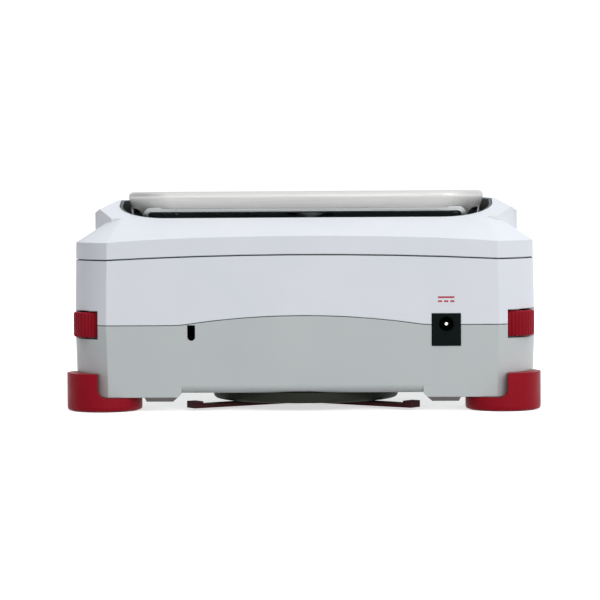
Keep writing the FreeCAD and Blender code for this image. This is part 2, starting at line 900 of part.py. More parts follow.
def overload_stop():
    """A stud on the chassis just under the cell's free end."""
    y = cell_y()[0] + stop_setback
    middle = plate_top_z + stop_base_height
    base = cylinder(stop_base_radius, 0, y, plate_top_z, middle)
    return base.fuse(cylinder(stop_radius, 0, y, middle, cell_z - stop_gap))


def pan_carrier():
    """Plate on the cell's free end, with the stem that comes up through the well."""
    rear, _ = cell_y()
    half = cell_width / 2
    foot = box(-half, half, rear, rear + cell_end - carrier_foot_gap, cell_top_z, carrier_z)
    top = carrier_z + carrier_thickness
    plate = box(-half, half, rear, pan_y + stub_radius + carrier_end, carrier_z, top)
    edges = [e for e in plate.Edges if abs(e.Vertexes[0].Z - e.Vertexes[1].Z) > 1]
    plate = plate.makeFillet(carrier_corner, edges)
    collar = cylinder(stub_radius + carrier_end, 0, pan_y, top, top + collar_height)
    stem = cylinder(stub_radius, 0, pan_y, top, arm_z - hub_drop - seat_gap)
    tip = cylinder(stub_radius - stem_step, 0, pan_y, top, arm_z - stem_step)
    return fused([foot, plate, collar, stem, tip])


def foot_boot(sx, sy):
    """Red foot: a low disc, and a tower that wraps the housing's corner."""
    x, y = foot_place(1, 1)
    disc = cylinder(foot_radius, x, y, pad_height, foot_height)
    disc = disc.makeChamfer(foot_chamfer, [e for e in disc.Edges
                                  if e.BoundBox.ZMax < pad_height + 0.1 and len(e.Vertexes) == 1])
    tower = cylinder(foot_radius, x, y, foot_height - 1, foot_tower_z)
    keep_out = Part.Face(plan_wire(side_x, rear_y, front_y, 0)).extrude(Vector(0, 0, 60))
    tower = tower.cut(keep_out)
    edge_x = side_x - foot_tower_inset
    side_edge_y = front_y - corner_run + tower_lead
    tower = tower.common(box(edge_x, far, side_edge_y, far, 0, 60))
    lean = box(edge_x - foot_fillet, edge_x + 1, y, y + 2 * foot_radius,
               foot_height - 1, foot_height + foot_fillet)
    hollow = Part.makeCylinder(foot_fillet, 4 * foot_radius,
                               Vector(edge_x - foot_fillet, y - foot_radius,
                                      foot_height + foot_fillet), Vector(0, 1, 0))
    flank = lean.cut(hollow)
    flank = flank.common(cylinder(foot_radius, x, y, 0, 60)).cut(keep_out)
    boot = fused([disc, tower, flank])
    screw_x, screw_y = spindle_place(1, 1)
    boot = boot.cut(cylinder(spindle_radius + spindle_clearance, screw_x, screw_y,
                             spindle_seat_z, 20))
    return placed(boot, sx, sy)


def placed(shape, sx, sy):
    """Bring a corner piece, drawn at front left, to its own corner."""
    if sx < 0:
        shape = shape.mirror(Vector(0, 0, 0), Vector(1, 0, 0))
    if sy < 0:
        shape = shape.mirror(Vector(0, 0, 0), Vector(0, 1, 0))
    return shape


def foot_pad(sx, sy):
    x, y = foot_place(sx, sy)
    pad = cylinder(foot_radius - pad_inset, x, y, 0, pad_height)
    return pad.cut(cylinder(foot_radius - pad_inset - pad_ring, x, y, -1, pad_height / 2))


def foot_spindle(sx, sy):
    """The foot's screw, drawn at its outer diameter, with a slot across its top."""
    x, y = spindle_place(sx, sy)
    rod = cylinder(spindle_radius, x, y, spindle_seat_z, spindle_top_z)
    rim = [e for e in rod.Edges if len(e.Vertexes) == 1]
    rod = rod.makeChamfer(spindle_chamfer, rim)
    half = spindle_slot / 2
    return rod.cut(box(x - 2 * spindle_radius, x + 2 * spindle_radius, y - half, y + half,
                       spindle_top_z - spindle_slot_depth, spindle_top_z + 1))


def thumbwheel(sx, sy):
    """Red nut that raises and lowers one foot, ribbed for a fingertip."""
    x, y = spindle_place(sx, sy)
    points = []
    steps = wheel_ribs * 4
    for step in range(steps):
        high = step % 4 < 2
        radius = wheel_radius if high else wheel_radius - wheel_rib_depth
        angle = 2 * math.pi * step / steps
        points.append(Vector(x + radius * math.cos(angle), y + radius * math.sin(angle),
                             wheel_low_z))
    body = prism(points, Vector(0, 0, wheel_height))
    blank = cylinder(wheel_radius + 0.1, x, y, wheel_low_z, wheel_top_z)
    rims = [e for e in blank.Edges if len(e.Vertexes) == 1]
    body = body.common(blank.makeChamfer(wheel_bevel, rims))
    return body.cut(cylinder(spindle_radius + spindle_clearance, x, y, 0, 60))


def wheel_washers():
    """A thin washer above and below each thumbwheel."""
    washers = []
    for _, sx, sy in corners:
        x, y = spindle_place(sx, sy)
        for z in (wheel_low_z - washer_thickness, wheel_top_z):
            ring = cylinder(washer_radius, x, y, z, z + washer_thickness)
            washers.append(ring.cut(cylinder(spindle_radius + washer_gap, x, y, 0, far)))
    return group(washers)


def corner_bracket(sx, sy):
    """C-shaped bracket that holds a thumbwheel between its arms, round the foot's screw."""
    x, y = spindle_place(1, 1)
    post_out = x - wheel_radius - foot_gap
    post_in = post_out - bracket_post
    low = wheel_low_z - washer_thickness
    top = wheel_top_z + washer_thickness
    y0 = y - bracket_half
    y1 = y + bracket_half
    post = box(post_in, post_out, y0, y1, chassis_z, top + bracket_arm)
    arms = []
    for z in (low - bracket_arm, top):
        arms.append(box(post_in, x, y0, y1, z, z + bracket_arm))
        arms.append(cylinder(bracket_half, x, y, z, z + bracket_arm))
    foot = box(post_in - bracket_foot_length, post_out, y0 - bracket_foot_width, y1,
               chassis_z, plate_top_z)
    rib_y = y - bracket_rib / 2
    rib = prism([Vector(post_in + 1, rib_y, plate_top_z - 1),
                 Vector(post_in - bracket_rib_length, rib_y, plate_top_z - 1),
                 Vector(post_in + 1, rib_y, wheel_low_z)], Vector(0, bracket_rib, 0))
    bracket = fused([post, foot, rib] + arms)
    bracket = bracket.cut(cylinder(spindle_radius + spindle_clearance, x, y, 0, 90))
    return placed(bracket, sx, sy)


def base_chassis():
    """Cast plate that joins the feet to the weighing cell and keeps the shells unloaded."""
    plate = rounded_block(chassis_half_x, chassis_half_y, chassis_corner, chassis_z, plate_top_z)
    _, front = cell_y()
    half = cell_width / 2
    adds = [box(-half, half, front - cell_end + 2, front, plate_top_z - 1, cell_z)]
    rib_x = chassis_half_x - chassis_rib_inset
    rib_y = chassis_half_y - chassis_rib_end
    rib_top = plate_top_z + chassis_rib_height
    for x in (-rib_x, rib_x - chassis_rib):
        adds.append(box(x, x + chassis_rib, -rib_y, rib_y, plate_top_z - 1, rib_top))
    cross_y = chassis_half_y - cross_rib_inset
    for y in (-cross_y, cross_y - chassis_rib):
        adds.append(box(-rib_x, rib_x, y, y + chassis_rib, plate_top_z - 1, rib_top))
    for _, sx, sy in corners:
        adds.append(corner_bracket(sx, sy))
    plate = fused([plate] + adds)
    cuts = []
    window_y = chassis_half_y - chassis_window_inset
    for sx in (-1, 1):
        for y in (-window_y, 0, window_y):
            window = rounded_block(*chassis_window, 0, plate_top_z + 1, y)
            window.translate(Vector(sx * (half + chassis_window_x), 0, 0))
            cuts.append(window)
    for x, y in chassis_places():
        cuts.append(cylinder(screw_radius + 0.2, x, y, 0, 60))
    for x, y in post_places():
        cuts.append(cylinder(post_radius + wall + foot_gap, x, y, 0, 60))
    for _, sx, sy in corners:
        x, y = spindle_place(sx, sy)
        cuts.append(cylinder(spindle_radius + spindle_clearance, x, y, 0, 20))
    for x, y in cell_bolts(front, -1):
        cuts.append(cylinder(cell_bolt_radius, x, y, 0, cell_z + 1))
        cuts.append(cylinder(cell_head_radius + 0.1, x, y, 0, chassis_z + cell_head_height))
    for x, y in main_board_holes():
        cuts.append(cylinder(screw_radius, x, y, plate_top_z + 1, 60))
    cuts.append(cylinder(lock_shaft_radius + spindle_clearance, 0, dish_y, 0, 60))
    return plate.cut(group(cuts))


def dc_jack():
    """Black power inlet: a block in the shells with a round mouth."""
    half = jack_width / 2
    body = box(jack_x - half, jack_x + half, rear_y - jack_proud, rear_y + jack_body_depth,
               jack_low_z, jack_low_z + jack_height)
    edges = [e for e in body.Edges if all(abs(v.Y - rear_y + jack_proud) < 1e-6
                                          for v in e.Vertexes)]
    body = body.makeChamfer(jack_edge, edges)
    mouth = Part.makeCylinder(jack_hole_radius, jack_hole_depth,
                              Vector(jack_x, rear_y - jack_proud, jack_hole_z), Vector(0, 1, 0))
    socket = Part.makeCylinder(jack_pin_radius, jack_body_depth,
                               Vector(jack_x, rear_y, jack_hole_z), Vector(0, 1, 0))
    flare = Part.makeCone(jack_hole_radius + jack_flare, jack_hole_radius, jack_flare,
                          Vector(jack_x, rear_y - jack_proud, jack_hole_z), Vector(0, 1, 0))
    return body.cut(group([mouth, flare])).cut(socket)


def dc_jack_pin():
    """The inlet's centre pin with its round nose."""
    start = rear_y + pin_setback
    pin = Part.makeCylinder(jack_pin_radius, pin_length, Vector(jack_x, start, jack_hole_z),
                            Vector(0, 1, 0))
    nose = [e for e in pin.Edges if len(e.Vertexes) == 1 and e.BoundBox.YMax < start + 0.1]
    return pin.makeFillet(jack_pin_radius * 0.6, nose)


def transport_lock_dish():
    """Round dark cover under the housing that carries the transport lock."""
    dish = cylinder(dish_radius, 0, dish_y, base_z - dish_drop, base_z)
    rim = [e for e in dish.Edges if len(e.Vertexes) == 1 and e.BoundBox.ZMax < base_z - 1]
    dish = dish.makeFillet(dish_rim, rim)
    return dish.cut(cylinder(lock_shaft_radius + spindle_clearance, 0, dish_y, 0, base_z + 1))


def transport_lock_lever():
    """Red two-armed lever with upturned fingertips, turning about the dish's middle."""
    low = lever_z
    high = low + lever_thickness
    hub = cylinder(lever_hub_radius, 0, dish_y, low, high)
    shaft = cylinder(lock_shaft_radius, 0, dish_y, low, plate_top_z + lock_shaft_rise)
    parts = [hub, shaft]
    half = lever_width / 2
    for sx in (-1, 1):
        tip = Vector(sx * lever_reach_x, dish_y - lever_reach_y, low)
        root = Vector(sx * lever_root_x, dish_y - lever_root_y, low)
        along = tip - root
        along.normalize()
        across = Vector(-along.y, along.x, 0)
        root_half = lever_root_width / 2
        points = [root + across * root_half, tip + across * half, tip - across * half,
                  root - across * root_half]
        arm = prism(points, Vector(0, 0, lever_thickness))
        inner = tip - along * lever_tab_length
        tab = prism([tip + across * half, tip - across * half, inner - across * half,
                     inner + across * half], Vector(0, 0, lever_tab_height))
        parts += [arm, tab]
    lever = fused(parts)
    return lever.cut(cylinder(screw_radius, 0, dish_y, 0, plate_top_z))


def transport_lock_screw():
    """Flat-headed screw up the lever's shaft."""
    head = cylinder(screw_head_radius, 0, dish_y, lever_z - lock_screw_sink, lever_z)
    return head.fuse(cylinder(screw_radius - seat_gap, 0, dish_y, lever_z, plate_top_z - 1))


def panel_overlay():
    """Printed film over the control panel, with holes for the display and keys."""
    gap = 0.15
    sheet = rounded_block(panel_width / 2 - gap, panel_length / 2 - gap, 6 - gap,
                          -panel_sheet, 0)
    window = rounded_block(window_width / 2, window_length / 2, 3, -5, 5)
    window.translate(Vector(0, display_offset, 0))
    cuts = [window]
    for u in key_places():
        hole = key_outline(key_clearance, -5, 5)
        hole.translate(Vector(u, key_offset, 0))
        cuts.append(hole)
    cuts.append(Part.makeCylinder(level_radius + 1.7, 10,
                                  Vector(level_offset_x, display_offset, -5)))
    return on_panel(sheet.cut(group(cuts)))


def display_window():
    gap = 0.1
    return on_panel(rounded_block(window_width / 2 - gap, window_length / 2 - gap, 3 - gap,
                                  -panel_sheet, 0.1), 0, display_offset)


def lcd_module():
    """Glass cell close under the window, in a frame that stands on the board."""
    top = board_top + lcd_height
    glass = rounded_block(window_width / 2 - 3, window_length / 2 - 3, 1, board_top, top)
    frame = rounded_block(window_width / 2 + 1, window_length / 2 + 1, 1, board_top, top - 1.0)
    return on_panel(glass.fuse(frame), 0, display_offset)


def board_posts():
    """Where the display board is screwed to the underside of the panel."""
    u = panel_width / 2 - 12
    v = panel_length / 2 - 11
    return [(u, v), (-u, v), (-u, -v), (u, -v)]


def display_board():
    """Board under the panel with the display and one dome switch for each key."""
    board = rounded_block(panel_width / 2 - 6, panel_length / 2 - 4, 3,
                          board_top - board_sheet, board_top)
    height = -key_low() - key_travel - 0.1 - board_top
    adds = [Part.makeCone(3.4, 2.6, height, Vector(u, key_offset, board_top))
            for u in key_places()]
    board = board.fuse(adds)
    holes = [Part.makeCylinder(screw_radius, 10, Vector(u, v, board_top - 5))
             for u, v in board_posts()]
    return on_panel(board.cut(group(holes)))


def board_screws():
    """Pan-head screws of the display board and the main board."""
    screws = []
    low = board_top - board_sheet
    for u, v in board_posts():
        head = Part.makeCylinder(screw_head_radius, screw_head_height,
                                 Vector(u, v, low - screw_head_height))
        shank = Part.makeCylinder(screw_radius - 0.05, board_sheet + 3.0, Vector(u, v, low))
        screws.append(on_panel(head.fuse(shank)))
    top = plate_top_z + chassis_rib_height + board_sheet
    for x, y in main_board_holes():
        screws.append(cylinder(screw_head_radius, x, y, top, top + screw_head_height).fuse(
            cylinder(screw_radius - 0.05, x, y, plate_top_z + 2, top)))
    return group(screws)


def key_low():
    """Depth of the underside of a key's flange below the panel."""
    return panel_skin + 0.1 + key_flange


def push_key(u):
    """One key: an oval cap through the panel, kept in by its flange."""
    low = -key_low()
    cap = key_outline(0, low, key_proud)
    rim = [e for e in cap.Edges if all(abs(v.Z - key_proud) < 1e-6 for v in e.Vertexes)]
    cap = cap.makeFillet(0.5, rim)
    flange = key_outline(1.2, low, low + key_flange)
    return on_panel(cap.fuse(flange), u, key_offset)


def level_housing():
    """Cup of the bubble level, let into the panel."""
    cup = Part.makeCylinder(level_radius - 0.1, level_depth, Vector(0, 0, -level_depth))
    rim = Part.makeCylinder(level_radius + 1.5, panel_sheet + 0.4, Vector(0, 0, -panel_sheet))
    hollow = Part.makeCylinder(level_radius - 1.6, 10, Vector(0, 0, 1.5 - level_depth))
    return on_panel(cup.fuse(rim).cut(hollow), level_offset_x, display_offset)


def level_vial():
    vial = Part.makeCylinder(level_radius - 1.65, level_depth - 1.0,
                             Vector(0, 0, 1.5 - level_depth))
    rim = [e for e in vial.Edges if len(e.Vertexes) == 1 and e.BoundBox.ZMin > 0]
    return on_panel(vial.makeFillet(0.6, rim), level_offset_x, display_offset)


def main_board_place():
    """Inner edge, rear edge and underside of the main board, behind the inlet."""
    return (post_x - post_radius - board_gap - board_width, rear_y + jack_body_depth,
            plate_top_z + chassis_rib_height)


def main_board_holes():
    """Two screws in the chassis' long rib and one in its cross rib."""
    x, y, _ = main_board_place()
    rib_x = chassis_half_x - chassis_rib_inset - chassis_rib / 2
    rib_y = cross_rib_inset - chassis_half_y + chassis_rib / 2
    near = y + board_setback + board_hole_inset
    far_end = y + board_setback + board_length - board_hole_inset - 2
    return [(rib_x, near), (rib_x, far_end), (x + board_hole_x, rib_y)]


def main_board():
    """Board on the chassis ribs, with a tongue that reaches back to the inlet."""
    x, y, z = main_board_place()
    top = z + board_sheet
    start = y + board_setback
    sheet = box(x, x + board_width, start, start + board_length, z, top)
    tongue = box(x, x + board_tongue, y, start + 1, z, top)
    row = start + chip_setback
    chip = box(x + chip_inset, x + chip_inset + chip_size, row, row + chip_size,
               top, top + chip_height)
    block = box(x + board_tongue, x + board_tongue + converter_width, row, row + chip_size,
                top, top + converter_height)
    plug_x = jack_x - plug_reach
    plug_y = start + plug_setback
    plug = box(plug_x, plug_x + plug_width, plug_y, plug_y + plug_length,
               top, top + plug_height)
    board = fused([sheet, tongue, chip, block, plug])
    return board.cut(group([cylinder(screw_radius, px, py, 0, far)
                            for px, py in main_board_holes()]))


def jack_board():
    """Small upright board that carries the inlet's pin."""
    _, y, z = main_board_place()
    low = z + board_sheet
    end_x = jack_x + jack_width / 2
    board = box(jack_x - jack_board_reach, end_x, y, y + board_sheet, low,
                jack_low_z + jack_height)
    foot = box(jack_x - jack_board_arm, end_x + 1, y - 1, y + board_sheet + 1,
               low - 1, jack_low_z - 1)
    board = board.cut(foot)
    return board.cut(Part.makeCylinder(jack_pin_radius, jack_body_depth,
                                       Vector(jack_x, y - 1, jack_hole_z), Vector(0, 1, 0)))


def housing_screws():
    screws = []
    for x, y in post_places():
        head = cylinder(screw_head_radius, x, y, base_z, base_z + screw_head_height)
        head = head.cut(box(x - 2, x + 2, y - 0.3, y + 0.3, base_z - 1, base_z + 0.8))
        head = head.cut(box(x - 0.3, x + 0.3, y - 2, y + 2, base_z - 1, base_z + 0.8))
        screws.append(head.fuse(cylinder(screw_radius - 0.05, x, y,
                                         base_z + screw_head_height, base_z + 20)))
    return group(screws)


def chassis_screws():
    screws = []
    for x, y in chassis_places():
        head = cylinder(screw_head_radius, x, y, plate_top_z, plate_top_z + screw_head_height)
        screws.append(head.fuse(cylinder(screw_radius - 0.05, x, y, base_z + 2, plate_top_z)))
    return group(screws)


def ribbon_cable():
    """Flat cable from the plug on the main board up to the display board."""
    _, y, z = main_board_place()
    low = z + board_sheet + plug_height
    level = low + ribbon_rise
    end = on_panel(Part.Vertex(0, -panel_length / 2 + 14, board_top - board_sheet)).Point
    top = end.z - seat_gap
    sheet = ribbon_sheet
    start = y + board_setback + plug_setback + (plug_length - sheet) / 2
    bend = ribbon_bend
    outline = [(start, low), (start, low + bend + 1), (start + 3 * bend, level),
               (end.y - bend, level), (end.y, level + bend), (end.y, top),
               (end.y + sheet, top - sheet * slope_fall),
               (end.y + sheet, level + bend - sheet / 2),
               (end.y - bend + sheet / 2, level - sheet),
               (start + 3 * bend + sheet / 2, level - sheet),
               (start + sheet, low + bend + 1 - sheet / 2), (start + sheet, low)]
    return profile_prism(outline, jack_x - ribbon_width, jack_x)


def build():
    parts = {
        "lower_shell": lower_shell(),
        "middle_shell": middle_shell(),
        "top_cover": top_cover(),
        "well_liner": well_liner(),
        "pan": pan(),
        "pan_support": pan_support(),
        "pan_bumpers": pan_bumpers(),
        "pan_carrier": pan_carrier(),
        "load_cell": load_cell(),
        "load_cell_screws": cell_screws(),
        "strain_gauges": strain_gauges(),
        "overload_stop": overload_stop(),
        "base_chassis": base_chassis(),
        "wheel_washers": wheel_washers(),
        "dc_jack": dc_jack(),
        "dc_jack_pin": dc_jack_pin(),
        "transport_lock_dish": transport_lock_dish(),
        "transport_lock_lever": transport_lock_lever(),
        "transport_lock_screw": transport_lock_screw(),
        "panel_overlay": panel_overlay(),
        "display_window": display_window(),
        "lcd_module": lcd_module(),
        "display_board": display_board(),
        "level_housing": level_housing(),
        "level_vial": level_vial(),
        "main_board": main_board(),
        "housing_screws": housing_screws(),
        "chassis_screws": chassis_screws(),
        "ribbon_cable": ribbon_cable(),
        "board_screws": board_screws(),
        "jack_board": jack_board(),
    }
    for name, sx, sy in corners:
        parts["thumbwheel_" + name] = thumbwheel(sx, sy)
        parts["foot_" + name] = foot_boot(sx, sy)
        parts["foot_pad_" + name] = foot_pad(sx, sy)
        parts["foot_spindle_" + name] = foot_spindle(sx, sy)
    key_names = ("power", "print", "unit", "mode", "zero")
    for name, u in zip(key_names, key_places()):
        parts["key_" + name] = push_key(u)
    return parts


os.makedirs("parts", exist_ok=True)
for node, shape in build().items():
    solids = shape.Solids
    whole = solids[0] if len(solids) == 1 else Part.makeCompound(solids)
    whole.exportStep("parts/" + node + ".step")
    print(node, len(solids), round(shape.Volume), shape.isValid())
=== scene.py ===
import json
import math

import bmesh
import bpy
from mathutils import Matrix, Vector
from mathutils.bvhtree import BVHTree


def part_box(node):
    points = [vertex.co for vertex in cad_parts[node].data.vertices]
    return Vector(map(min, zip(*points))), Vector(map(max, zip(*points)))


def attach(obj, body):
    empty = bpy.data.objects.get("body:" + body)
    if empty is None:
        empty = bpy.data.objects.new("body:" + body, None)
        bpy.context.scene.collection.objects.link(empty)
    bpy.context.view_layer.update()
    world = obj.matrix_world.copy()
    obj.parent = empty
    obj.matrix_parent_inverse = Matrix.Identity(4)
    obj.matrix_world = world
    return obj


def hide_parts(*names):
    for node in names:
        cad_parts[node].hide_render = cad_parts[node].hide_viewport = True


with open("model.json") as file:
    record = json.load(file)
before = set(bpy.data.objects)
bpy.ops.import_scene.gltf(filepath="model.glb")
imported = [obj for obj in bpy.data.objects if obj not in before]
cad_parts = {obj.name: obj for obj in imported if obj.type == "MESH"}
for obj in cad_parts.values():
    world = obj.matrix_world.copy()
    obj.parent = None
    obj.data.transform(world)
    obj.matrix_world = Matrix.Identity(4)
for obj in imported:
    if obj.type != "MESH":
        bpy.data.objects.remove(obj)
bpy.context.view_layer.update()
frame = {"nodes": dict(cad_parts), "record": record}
nodes = frame["nodes"]
record = frame["record"]
BODY = {node: body for body, names in record["behaviour"]["bodies"].items() for node in names}

MM = 0.001
CORNERS = ("rear_left", "rear_right", "front_left", "front_right")
KEYS = ("power", "print", "unit", "mode", "zero")

# The tray's back wall in millimetres: its y at the split line, how much it leans in below that,
# and the x from which it turns round the corner
BACK = -160.0
SPLIT_HEIGHT = 39.0
WALL_DRAFT = 0.025
CORNER_START = 87.8
# Heights on that wall: the runner's foot, the sill over the foot's disc, the tray's lower edge,
# and the end of that edge's rounding
RUNNER_FOOT = 4.6
SILL = 6.5
LOWER_EDGE = 8.4
ROUNDING_END = 12.26
# The pan in millimetres: its top's height, how much its skirt leans in for each millimetre down
# from there, and half its width and length where that lean starts
PAN_TOP = 99.3
SKIRT_LEAN = 0.29
PAN_HALF_WIDTH = 84
PAN_HALF_LENGTH = 90
# The y of the pan's middle in metres
PAN_MIDDLE = -0.035
# The height of the inlet's mouth in millimetres, and the direct-current sign's place in metres
INLET_HEIGHT = 39.4
SIGN_PLACE = (0.0649, -0.16, 0.0505)

# The panel's middle in metres, and its slope in radians
PANEL_MIDDLE = (0, 0.113, 0.07625)
PANEL_SLOPE = 0.38874
# Places on the panel in millimetres from its middle: X to the reader's right, Y up the slope
DISPLAY_ROW = 17
KEY_ROW = -22
KEY_PITCH = 30
LEVEL_X = -68.5

# The camera's place in metres, and its turns in radians from looking level along Y
CAMERA_PLACE = (0.0446, -1.316, 0.1001)
CAMERA_YAW, CAMERA_PITCH, CAMERA_ROLL = 0.0392, -0.0429, 0.0063
LENS, SENSOR_WIDTH = 154.5, 36
# The white room's glow: ahead of the camera, behind it, and its share on the left and below
ROOM_AHEAD = 1.1
ROOM_BEHIND = 0.92
ROOM_LEFT = 0.42
ROOM_BELOW = 0.3
TABLE_GLOW = 0.62


# Colours and materials


def linear(code):
    """A linear colour from an sRGB hex code."""
    channels = [int(code[i:i + 2], 16) / 255 for i in (1, 3, 5)]
    return (*[c / 12.92 if c < 0.04045 else ((c + 0.055) / 1.055) ** 2.4 for c in channels], 1)


class Graph:
    """A node tree, with one short call that adds a node with its settings and links."""

    def __init__(self, tree):
        self.tree = tree

    def feed(self, node, name, value):
        """Sets an input to a value, or links it to another node's output."""
        if isinstance(value, bpy.types.NodeSocket):
            self.tree.links.new(value, node.inputs[name])
        else:
            node.inputs[name].default_value = value

    def add(self, kind, values=None, **settings):
        node = self.tree.nodes.new(kind)
        for name, value in settings.items():
            setattr(node, name, value)
        for name, value in (values or {}).items():
            self.feed(node, name, value)
        return node

    def span(self, fac, low, high, start=0.3, end=0.7):
        """A value from low to high, as fac goes from start to end."""
        ramp = self.add("ShaderNodeMapRange", {"Value": fac, "From Min": start, "From Max": end,
                                               "To Min": low, "To Max": high})
        return ramp.outputs["Result"]


class Finish(Graph):
    """A material: its shader, and what drives the shader's colour, sheen and relief."""

    def __init__(self, name, color, rough, metal=0.0):
        self.material = bpy.data.materials.new(name)
        self.material.use_nodes = True
        super().__init__(self.material.node_tree)
        self.shader = self.tree.nodes["Principled BSDF"]
        self.color = linear(color)
        self.material.diffuse_color = self.color
        self.set(Base_Color=self.color, Roughness=rough, Metallic=metal)
        self.place = self.add("ShaderNodeTexCoord").outputs["Object"]
        self.normal = None

    def set(self, **values):
        """Sets or links the shader's inputs, named with underscores for spaces."""
        for name, value in values.items():
            self.feed(self.shader, name.replace("_", " "), value)
        return self

    def noise(self, size_mm, detail=2.0, stretch=(1, 1, 1)):
        """Noise whose features are about size_mm across, longer along an axis by its stretch."""
        scale = [1 / (size_mm * MM * s) for s in stretch]
        mapping = self.add("ShaderNodeMapping", {"Vector": self.place, "Scale": scale})
        noise = self.add("ShaderNodeTexNoise",
                         {"Vector": mapping.outputs["Vector"], "Scale": 1.0, "Detail": detail})
        return noise.outputs["Fac"]

    def tint(self, fac, color, amount, start=0.3, end=0.7):
        """The base colour, moving towards another one where fac is high."""
        mix = self.add("ShaderNodeMix", {"Factor": self.span(fac, 0.0, amount, start, end),
                                         6: self.color, 7: linear(color)}, data_type="RGBA")
        self.color = mix.outputs[2]
        self.set(Base_Color=self.color)

    def painted_crevice_shade(self, reach_mm, color, amount=0.9):
        """Painted shade in narrow gaps, such as where two shells meet: the colour darkens where
        ambient occlusion finds other surfaces close by.
        """
        near = self.add("ShaderNodeAmbientOcclusion", {"Distance": reach_mm * MM}, samples=6)
        self.tint(near.outputs["AO"], color, amount, 0.75, 0.2)

    def ease(self, radius_mm):
        """Rounds every edge to the eye, as a mould or a tumbler leaves it."""
        edge = self.add("ShaderNodeBevel", {"Radius": radius_mm * MM}, samples=4)
        self.normal = edge.outputs["Normal"]
        self.set(Normal=self.normal)

    def bump(self, height, depth_mm, strength=1.0):
        """Relief up to depth_mm high, on top of the eased edges where there are any."""
        values = {"Height": height, "Distance": depth_mm * MM, "Strength": strength}
        if self.normal:
            values["Normal"] = self.normal
        self.normal = self.add("ShaderNodeBump", values).outputs["Normal"]
        self.set(Normal=self.normal)


def moulded(name, color, rough, shade, grain_mm=0.45, depth_mm=0.012, edge_mm=0.35):
    """Moulded plastic: spark-eroded grain, faint flow marks, an uneven sheen and eased edges.
    Real grain is about 0.1 mm wide, too fine to show, so it is drawn some four times as wide."""
    flow_mm, sheen_mm = 38, 7
    finish = Finish(name, color, rough)
    finish.ease(edge_mm)
    finish.tint(finish.noise(flow_mm, 3), shade, 0.5)
    finish.set(Roughness=finish.span(finish.noise(sheen_mm, 3), rough - 0.05, rough + 0.06))
    finish.bump(finish.noise(grain_mm, 2), depth_mm)
    return finish


def metal(name, color, rough, stretch=(1, 1, 1), grain_mm=0.3, depth_mm=0.004, edge_mm=0.2):
    """Bare metal: grain drawn out along the way it was worked, with smudges in the sheen."""
    finish = Finish(name, color, rough, 1.0)
    finish.ease(edge_mm)
    grain = finish.noise(grain_mm, 3, stretch)
    finish.set(Roughness=finish.span(grain, rough - 0.08, rough + 0.1))
    finish.bump(grain, depth_mm)
    return finish


# The pale shells: fine grain keeps the broad faces from looking like paint
white_abs = moulded("white moulded ABS", "#DDE0E4", 0.46, "#D4D8DE", edge_mm=0.5)
# The tray under them: the same grain, one step greyer
grey_abs = moulded("grey moulded ABS", "#BCC1C0", 0.48, "#B5BBBB", edge_mm=0.5)
# Both shells get painted shade, a dark grey, in their seams and narrow gaps
for shell in (white_abs, grey_abs):
    shell.painted_crevice_shade(1.2, "#4A4E50")
# Feet and wheels: satin red with soft highlights on every rib
red_nylon = moulded("red glass-filled nylon", "#930A1D", 0.42, "#840919", 0.6, 0.01, 0.6)
red_nylon.set(Specular_IOR_Level=0.1)
# Painted shade, a dark red, between the ribs and in narrow gaps
red_nylon.painted_crevice_shade(1.0, "#3A0309", 0.7)
# The lock's lever: the feet's red with painted shade, much darker than the feet, as it sits in
# shadow under the tray
red_nylon_painted_shade = moulded("red moulded nylon with painted shade", "#35080E", 0.5, "#29060A", 0.6, 0.01)
red_nylon_painted_shade.set(Specular_IOR_Level=0.15)
# The liner in the well: deep grey, so the pan's gap reads as a shadow
dark_abs = moulded("dark moulded ABS", "#4A5452", 0.5, "#3E4846")
# The inlet: black with a wide, low sheen
black_abs = moulded("black moulded ABS", "#050E0C", 0.6, "#081210", 0.4, 0.008)
black_abs.set(Specular_IOR_Level=0.06)
# The lock's dish: black with an olive cast
olive_abs = moulded("olive-black moulded ABS", "#262920", 0.55, "#1F221A", 0.5, 0.01, 0.5)
olive_abs.set(Specular_IOR_Level=0.15)
# Pan: hairlines along its width spread the highlight in a band. Real ones are 0.05 mm apart,
# too fine to show, so they are drawn at 0.5 mm
brushed = metal("brushed stainless steel", "#D0CFCC", 0.54, (70, 1, 1), 0.5, 0.003)
# The pan's rolled hems: the same sheet, made darker with painted shade, as the hems face down into
# the well's shadow
hem_steel_painted_shade = metal("rolled stainless steel with painted shade", "#B2B5B5", 0.45, (70, 1, 1), 0.5, 0.002)
# Screws, spindles and washers: bluish plating with a soft gloss
zinc = metal("zinc-plated steel", "#B9BDC0", 0.32, (1, 1, 1), 0.5)
# Brackets and the base plate: dull, slightly pitted
cast = metal("cast aluminium", "#A9ACAE", 0.5, (1, 1, 1), 0.9, 0.03, 0.6)
# Load cell, its carrier and the pan's support: clean metal with fine milling marks
milled = metal("milled aluminium", "#C6C8CA", 0.3, (1, 40, 1), 0.15, 0.003)
# The pin in the inlet: plated bright, so it shows as a small white point
nickel = metal("bright nickel", "#DAD8D2", 0.15)
# Pads and bumpers: black and dull, with no highlight
rubber = moulded("black rubber", "#141414", 0.72, "#1B1B1B", 0.8, 0.02)
# The strain gauges' carrier: amber and shiny
foil = moulded("polyimide film", "#B27A2E", 0.3, "#C28C3C", 2, 0.004, 0.05)
# The panel's sheet: dark slate with a satin face
film = moulded("matt polyester film", "#3D464E", 0.36, "#444E57", 0.25, 0.004, 0.1)
# The display's front sheet: smooth and grey-green
display = moulded("display polariser", "#98A68C", 0.22, "#9FAC93", 3, 0.001, 0.05)
# Circuit boards: glossy green lacquer, uneven over its tracks
board = moulded("solder mask", "#14502F", 0.3, "#195C37", 4, 0.01, 0.1)
# The flat cable: soft grey, slightly uneven
ribbon = moulded("grey PVC ribbon", "#8E8F91", 0.5, "#858688", 1, 0.01, 0.1)
# Keys: pale and soft, with a wide sheen on their rounded rims
keys = moulded("pale silicone keys", "#C9CDD1", 0.5, "#C0C5C9", 0.4, 0.008, 0.3)
